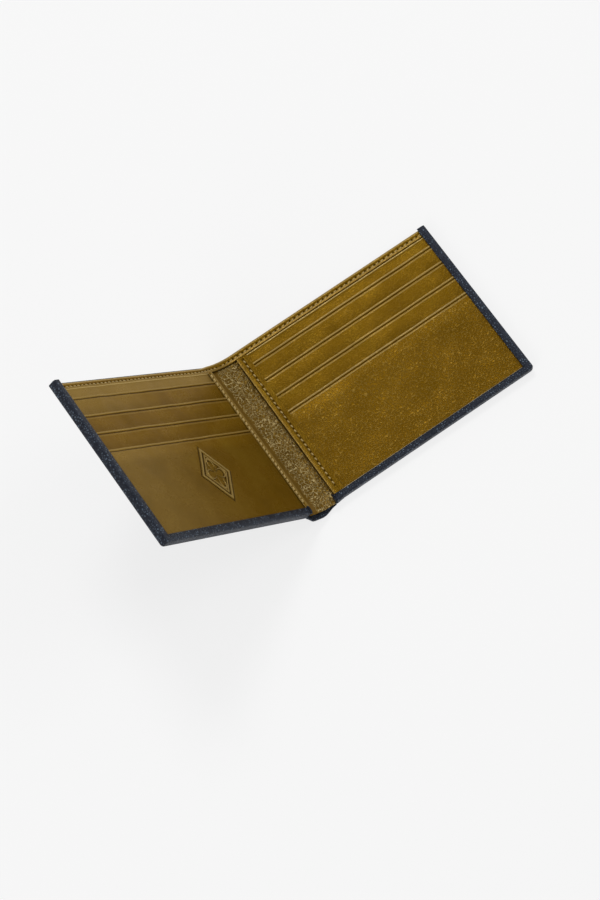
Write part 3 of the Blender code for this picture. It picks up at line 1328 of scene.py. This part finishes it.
@dataclass
class TopHem:
    """The divider's turned and stitched top edge, from one half's outer edge to the middle line.

    Attributes:
        layout: The half's sizes.
        pitch: Spacing of the stitches.
        seam_drop: Distance of the seam below the hem's top.
    """

    layout: HalfLayout
    pitch: float = 2.7 * MM
    seam_drop: float = 2.1 * MM

    def build(self) -> None:
        """Model the hem with its needle holes, and sew it."""
        layout = self.layout
        low, high = layout.extent("top_hem")
        high.z += 0.12 * MM
        path = Crossing(layout.fold, low.z, 1.68 * MM)
        seam = high.y - self.seam_drop
        count = int((high.x - path.end) / self.pitch)
        holes = [Vector((path.end + self.pitch * (i + 0.5), seam, high.z)) for i in range(count)]
        columns = lines(path.end, high.x, 0.3 * MM)
        rows = joined(
            lines(low.y, seam + 0.8 * MM, 0.22 * MM),
            lines(seam + 0.8 * MM, high.y, 0.22 * MM),
        )
        piece = Workpiece.grid(layout.node("top_hem_hide"), columns, rows, high.z)

        def relief(point: Vector) -> Vector:
            """A round bead along the top, a shallow channel for the seam, and a hole at each stitch."""
            near = [h for h in holes if abs(h.x - point.x) < self.pitch] or holes[:1]
            from_top = high.y - point.y
            point.z -= 0.30 * MM * (1 - smooth(from_top, 0.0, 0.8 * MM))
            point.z -= 0.16 * MM * (1 - smooth(abs(point.y - seam), 0.25 * MM, 0.9 * MM))
            point.z -= 0.30 * MM * hole_depth(point, near, 0.55 * MM)
            point.z += 0.05 * MM * waves(point, 6 * MM, 3.0)
            return point

        def dark(point: Vector) -> float:
            """Painted shade in the needle holes, and a painted shadow along the hem's lower edge."""
            near = [h for h in holes if abs(h.x - point.x) < self.pitch] or holes[:1]
            foot = 1 - smooth(point.y - low.y, 0.1 * MM, 0.6 * MM)
            return max(0.95 * hole_depth(point, near, 0.6 * MM), 0.85 * foot)

        def light(point: Vector) -> float:
            """Wear on the bead along the top, and a little on the band below the seam."""
            bead = 1 - smooth(high.y - point.y, 0.5 * MM, 1.2 * MM)
            band = 1 - smooth(abs(point.y - low.y - 1.05 * MM), 0.25 * MM, 0.8 * MM)
            return max(0.7 * bead, 0.35 * band)

        piece.shape(relief)
        piece.thicken(0.8 * (high.z - low.z))
        piece.round_rim(0.14 * MM, 2, lambda p: p.x > path.end + 0.2 * MM)
        piece.mark("painted_shade_and_tone", dark)
        piece.mark("wear_and_painted_highlight", light)
        piece.shape(layout.settle)
        piece.finish(layout.matrix, OLIVE_SMOOTH, "olive_leather", path)
        layout.blend(piece, layout.node("top_hem"), "spine_top_hem")
        lifted = tuple(layout.settle(h + Vector((0.0, -0.35 * MM, -0.02 * MM))) for h in holes)
        slant = math.radians(22)
        seam_piece = Seam(layout.node("top_seam"), lifted, 0.5 * MM, slant, 0.62).build()
        seam_piece.finish(layout.matrix, SEAM_THREAD, "thread", path)
        layout.blend(seam_piece, layout.node("top_hem_thread"), "spine_top_hem_thread")


@dataclass
class CardPanel:
    """Card base, slot strips, front pocket and inner hem of one half.

    Attributes:
        layout: The half's sizes.
        groove_drop: Distance of the pressed line below a slot's mouth.
        groove_width: Width of the pressed line.
        groove_depth: Depth of the pressed line.
        bow: Height of the leather's soft waves.
        painted_shade_below_mouth: How much painted shade darkens a strip further below its mouth, from 0 to 1.
    """

    layout: HalfLayout
    groove_drop: float = 1.35 * MM
    groove_width: float = 0.55 * MM
    groove_depth: float = 0.17 * MM
    bow: float = 0.26 * MM
    painted_shade_below_mouth: float = 0.22

    @property
    def base_paleness(self) -> float:
        """How pale the card base is: paler on the front half."""
        return 0.3 if self.layout.side is Side.FRONT else 0.0

    def strip(
        self,
        name: str,
        seed: float,
        finish: Finish,
        extra: Callable[[Vector], float] | None = None,
        fine: tuple[list[float], list[float]] | None = None,
    ) -> None:
        """A strip of leather with a rounded mouth and a pressed line below it.

        Args:
            name: The node it stands for.
            seed: Picks the waves.
            finish: The surface it gets.
            extra: More relief to add, in metres, as a function of the point.
            fine: Extra columns and rows for that relief.
        """
        layout = self.layout
        low, high = layout.extent(name)
        thick = layout.extent("inner_hem")[1].z - layout.extent("inner_hem")[0].z
        slope = (high.z - low.z - thick) / (high.y - low.y)
        mouth = high.y
        groove = mouth - self.groove_drop
        pressed = 0.0 if name == "card_base" else 1.0
        columns = joined(lines(low.x, high.x, 1.6 * MM), fine[0] if fine else [])
        rows = joined(
            lines(low.y, groove - 1.4 * MM, 1.5 * MM),
            lines(groove - 1.4 * MM, mouth, 0.14 * MM),
            fine[1] if fine else [],
        )
        piece = Workpiece.grid(layout.node(name + "_hide"), columns, rows, low.z + thick)

        def relief(point: Vector) -> Vector:
            """The strip's slope, soft waves, the pressed line and the raised mouth."""
            height = slope * (point.y - low.y)
            ends = smooth(point.x, low.x, low.x + 9 * MM) * (1 - smooth(point.x, high.x - 9 * MM, high.x))
            height += self.bow * waves(point, 17 * MM, seed) * (0.3 + ends)
            height += 0.5 * self.bow * waves(point, 6 * MM, seed + 5) * ends
            line = 1 - smooth(abs(point.y - groove), 0.0, self.groove_width / 2)
            height -= pressed * self.groove_depth * line
            rim = smooth(point.y, groove, mouth - 0.35 * MM)
            height += 0.13 * MM * rim * (1 - smooth(point.y, mouth - 0.3 * MM, mouth + 0.15 * MM))
            if extra is not None:
                height += extra(point)
            point.z += height
            return point

        def dark(point: Vector) -> float:
            """Painted shade in the pressed line, beside the emblem's raised lines and further below the mouth, and a
            darker tone towards the strip's two ends.
            """
            line = 1 - smooth(abs(point.y - groove), 0.1 * MM, self.groove_width / 2)
            ends = (1 - smooth(point.x - low.x, 3 * MM, 10 * MM)) + smooth(point.x, high.x - 9 * MM, high.x)
            depth = 0.0 if extra is None else smooth(-extra(point), 0.02 * MM, 0.15 * MM)
            painted_shade_below_mouth = self.painted_shade_below_mouth * pressed * smooth(mouth - point.y, 4 * MM, 9.5 * MM)
            return min(1.0, 0.95 * pressed * line + 0.08 * ends + 0.85 * depth + painted_shade_below_mouth)

        def light(point: Vector) -> float:
            """Painted highlights on the mouth and on the far side of the pressed line, painted glints on the emblem's
            raised lines, painted light across the front half, and the card base's paleness.
            """
            if pressed:
                rim = 1 - smooth(abs(point.y - groove - 0.85 * MM), 0.12 * MM, 0.48 * MM)
            else:
                rim = smooth(point.y, mouth - 0.8 * MM, mouth - 0.5 * MM)
            below = 1 - smooth(abs(point.y - groove + 0.8 * MM), 0.12 * MM, 0.4 * MM)
            height = 0.0 if extra is None else smooth(extra(point), 0.08 * MM, 0.3 * MM)
            height *= 0.75
            if not pressed:
                return max(0.95 * rim, self.base_paleness)
            if self.layout.side is Side.BACK:
                return max(0.75 * rim, 0.5 * below, height)
            # Painted light that grows towards the outer edge on the front half's first slot and pocket.
            painted_light_gradient = 0.2 if name in ("slot_1", "front_pocket") else 0.0
            return max(0.55 * rim, 0.25 * below, height, painted_light_gradient * smooth(point.x, 35 * MM, 100 * MM))

        piece.shape(relief)
        piece.thicken(thick)
        piece.round_rim(0.13 * MM, 3)
        piece.mark("painted_shade_and_tone", dark)
        piece.mark("wear_and_painted_highlight", light)
        piece.finish(layout.matrix, finish, "olive_leather")
        layout.ride(piece, name)

    def build(self) -> None:
        """Make the panel from the back to the front."""
        face = OLIVE_GRAINED if self.layout.side is Side.BACK else OLIVE_SMOOTH
        shift = 0.0 if self.layout.side is Side.BACK else 40.0
        self.strip("card_base", 11.0 + shift, OLIVE_SMOOTH)
        for index in range(3):
            self.strip(f"slot_{index + 1}", 17.0 + 6 * index + shift, OLIVE_SMOOTH)
        if self.layout.side is Side.BACK:
            self.strip("front_pocket", 43.0, face)
        else:
            mark = EmbossedMark(Vector((50.3 * MM, -15.0 * MM, 0.0)))
            self.strip("front_pocket", 83.0, face, mark.relief, mark.lines())
        self.inner_hem()

    def inner_hem(self) -> None:
        """The panel's stitched inner edge: a flat hem on the back half, a narrow bead on the front."""
        layout = self.layout
        low, high = layout.extent("inner_hem")
        is_back = layout.side is Side.BACK
        pitch = 2.8 * MM if is_back else 2.4 * MM
        thread_low, thread_high = layout.extent("inner_hem_thread")
        seam = (thread_low.x + thread_high.x) / 2
        count = int((high.y - low.y) / pitch)
        holes = [Vector((seam, high.y - pitch * (i + 0.5), high.z)) for i in range(count)]
        columns = lines(low.x, high.x, 0.22 * MM)
        piece = Workpiece.grid(layout.node("inner_hem_hide"), columns, lines(low.y, high.y, 0.27 * MM), high.z)

        def relief(point: Vector) -> Vector:
            """A raised edge towards the fold, a channel for the seam, and the needle holes."""
            near = [h for h in holes if abs(h.y - point.y) < pitch] or holes[:1]
            from_fold = point.x - low.x
            if is_back:
                point.z += 0.14 * MM * (1 - smooth(from_fold, 0.3 * MM, 1.4 * MM))
            else:
                point.z += 0.22 * MM * (1 - smooth(from_fold, 0.3 * MM, 2.4 * MM))
            point.z -= 0.16 * MM * (1 - smooth(abs(point.x - seam), 0.2 * MM, 0.8 * MM))
            point.z -= 0.30 * MM * hole_depth(point, near, 0.5 * MM)
            point.z -= 0.25 * MM * smooth(point.x, seam + 0.6 * MM, high.x)
            point.z += 0.05 * MM * waves(point, 5 * MM, 7.0)
            return point

        def dark(point: Vector) -> float:
            """Painted shade in the needle holes, and on the flat hem a darker band away from its raised edge."""
            near = [h for h in holes if abs(h.y - point.y) < pitch] or holes[:1]
            band = 0.22 * smooth(point.x, low.x + 1.0 * MM, low.x + 1.8 * MM) if is_back else 0.0
            return max(0.95 * hole_depth(point, near, 0.6 * MM), band)

        def light(point: Vector) -> float:
            """Painted highlights on the raised edge towards the fold and, on the narrow bead, along the seam's far
            side.
            """
            edge = 1 - smooth(point.x - low.x, 0.3 * MM, 1.2 * MM if is_back else 1.9 * MM)
            far = 0.0 if is_back else 1 - smooth(abs(point.x - seam - 0.75 * MM), 0.1 * MM, 0.45 * MM)
            return max((0.28 if is_back else 0.5) * edge, 0.6 * far)

        piece.shape(relief)
        piece.thicken(high.z - low.z)
        piece.round_rim(0.13 * MM, 3)
        piece.mark("painted_shade_and_tone", dark)
        piece.mark("wear_and_painted_highlight", light)
        piece.finish(layout.matrix, OLIVE_SMOOTH, "olive_leather")
        layout.ride(piece, "inner_hem")
        lift = Vector((0.0, 0.0, 0.06 * MM))
        width, share = (0.72 * MM, 0.6) if is_back else (0.85 * MM, 0.9)
        sewn = Seam(layout.node("inner_seam"), tuple(h + lift for h in holes), width, math.radians(14), share).build()
        sewn.finish(layout.matrix, SEAM_THREAD, "thread")
        layout.ride(sewn, "inner_hem_thread")


@dataclass(frozen=True)
class EmbossedMark:
    """A plain ornament raised in the leather: a diamond of two lines round four leaves.

    Attributes:
        centre: Its middle in the half's layout.
        width: Width of the outer diamond.
        height: Height of the outer diamond.
        rise: Height of the raised lines.
    """

    centre: Vector
    width: float = 19 * MM
    height: float = 27 * MM
    rise: float = 0.42 * MM

    def lines(self) -> tuple[list[float], list[float]]:
        """Fine columns and rows over the ornament."""
        reach_x, reach_y = self.width / 2 + 2 * MM, self.height / 2 + 2 * MM
        return (
            lines(self.centre.x - reach_x, self.centre.x + reach_x, 0.26 * MM),
            lines(self.centre.y - reach_y, self.centre.y + reach_y, 0.26 * MM),
        )

    def relief(self, point: Vector) -> float:
        """Height of the ornament at a point, in metres.

        Args:
            point: Point in the half's layout.

        Returns:
            Positive on the raised lines, a little negative beside them, 0 elsewhere.
        """
        x = (point.x - self.centre.x) / (self.width / 2)
        y = (point.y - self.centre.y) / (self.height / 2)
        if abs(x) > 1.25 or abs(y) > 1.25:
            return 0.0
        gaps = [(abs(abs(x) + abs(y) - size) * self.width * 0.41, wide) for size, wide in ((1.0, 0.8), (0.76, 0.5))]
        radius = math.hypot(x, y)
        angle = math.atan2(y, x)
        leaf = 0.6 * abs(math.cos(2 * angle)) ** 0.8
        if radius < 0.66:
            gaps.append((abs(radius - leaf) * self.width * 0.4, 0.45))
        height = 0.0
        for gap, wide in gaps:
            height = max(height, 1 - smooth(gap, 0.25 * wide * MM, wide * MM))
        beside = max(1 - smooth(abs(gap - 1.25 * wide * MM), 0.0, 0.6 * wide * MM) for gap, wide in gaps)
        return self.rise * (height - 0.5 * beside * (1 - height))


@dataclass
class Studio:
    """Pale floor, soft lights and the camera.

    Attributes:
        place: The camera's place.
        azimuth: Direction it looks in, turned from +Y about Z, in degrees.
        elevation: Its height above the horizon, in degrees.
        roll: Its turn about its own axis, in degrees.
        lens: Focal length in millimetres for a 36 mm sensor.
    """

    place: Vector = field(default_factory=lambda: Vector((-0.2072, -0.3683, 1.1341)))
    azimuth: float = -23.434
    elevation: float = 71.132
    roll: float = -11.624
    lens: float = 103.47

    def build(self) -> None:
        """Make the floor, the lights and the camera."""
        self.floor()
        self.lights()
        self.camera()

    def floor(self) -> None:
        """A wide pale floor, low enough to clear the spine's bow when the wallet lies flat."""
        bpy.ops.object.select_all(action="DESELECT")
        bpy.ops.mesh.primitive_plane_add(size=12.0, location=(0.0, 0.0, -0.95 * MM))
        made = bpy.context.object
        made.name = "studio_floor"
        paper = bpy.data.materials.new("pale_paper")
        paper.use_nodes = True
        shader = paper.node_tree.nodes["Principled BSDF"]
        shader.inputs["Base Color"].default_value = linear("#7c7c7c")
        shader.inputs["Roughness"].default_value = 0.9
        shader.inputs["Specular IOR Level"].default_value = 0.1
        shader.inputs["Emission Color"].default_value = linear("#ffffff")
        shader.inputs["Emission Strength"].default_value = 0.755
        made.data.materials.append(paper)

    def light(self, name: str, place: Vector, size: tuple[float, float], power: float) -> None:
        """A soft box that faces the wallet.

        Args:
            name: The light's name.
            place: Its place.
            size: Its width and height.
            power: Its power in watts.
        """
        lamp = bpy.data.lights.new(name, "AREA")
        lamp.shape = "RECTANGLE"
        lamp.size, lamp.size_y = size
        lamp.energy = power
        made = bpy.data.objects.new(name, lamp)
        made.location = place
        made.rotation_euler = (Vector((0.0, 0.0, 0.02)) - place).to_track_quat("-Z", "Y").to_euler()
        bpy.context.scene.collection.objects.link(made)

    def lights(self) -> None:
        """A soft box above and behind, a weaker one on each side, and an even surround."""
        self.light("top_box", Vector((0.2, 0.74, 1.28)), (0.42, 0.42), 7.0)
        self.light("left_box", Vector((-1.1, -0.5, 0.9)), (0.7, 0.7), 5.0)
        self.light("right_box", Vector((1.1, -0.2, 1.0)), (0.7, 0.7), 4.0)
        world = bpy.data.worlds.new("studio")
        world.use_nodes = True
        ground = world.node_tree.nodes["Background"]
        ground.inputs["Color"].default_value = (1.0, 1.0, 1.0, 1.0)
        ground.inputs["Strength"].default_value = 0.35
        bpy.context.scene.world = world
        bpy.context.scene.view_settings.view_transform = "Standard"

    def camera(self) -> None:
        """The camera, looking down past the wallet's open top."""
        lens = bpy.data.cameras.new("camera")
        lens.lens = self.lens
        lens.sensor_width = 36.0
        lens.clip_end = 20.0
        made = bpy.data.objects.new("camera", lens)
        made.location = self.place
        turn = (
            Matrix.Rotation(math.radians(self.azimuth), 4, "Z")
            @ Matrix.Rotation(math.radians(90 - self.elevation), 4, "X")
            @ Matrix.Rotation(math.radians(self.roll), 4, "Z")
        )
        made.rotation_euler = turn.to_euler()
        bpy.context.scene.collection.objects.link(made)
        bpy.context.scene.camera = made


@dataclass
class Wallet:
    """The whole wallet.

    Attributes:
        fold: The two creases.
        binding_start: Where each half's bottom binding begins, from its crease.
    """

    fold: Fold = field(default_factory=Fold.from_frame)
    binding_start: dict[Side, float] = field(
        default_factory=lambda: {Side.BACK: 3.0 * MM, Side.FRONT: 4.0 * MM}
    )

    def build(self) -> None:
        """Make both halves, then dress the frame's own nodes that still show."""
        for side in Side:
            layout = HalfLayout(side, self.fold, self.binding_start[side])
            cover = Cover(layout)
            cover.build()
            if side is Side.BACK:
                cover.raw_edge()
            LOG.info("%s cover", side.value)
            FoldLayers(layout).build()
            LOG.info("%s linings and divider", side.value)
            TopHem(layout).build()
            CardPanel(layout).build()
            LOG.info("%s card panel", side.value)
        self.dress_inside()

    def dress_inside(self) -> None:
        """Give the boards and the pocket tails their finishes."""
        for name, node in frame["nodes"].items():
            if name.endswith("cover_board"):
                finish: Finish = STIFFENER
            elif name.endswith("tail"):
                finish = LINING
            else:
                continue
            node.data.materials.clear()
            node.data.materials.append(finish.material())


def main() -> None:
    """Build the wallet and its studio."""
    logging.basicConfig(level=logging.INFO, format="%(message)s")
    Wallet().build()
    Studio().build()


if __name__ == "__main__":
    main()
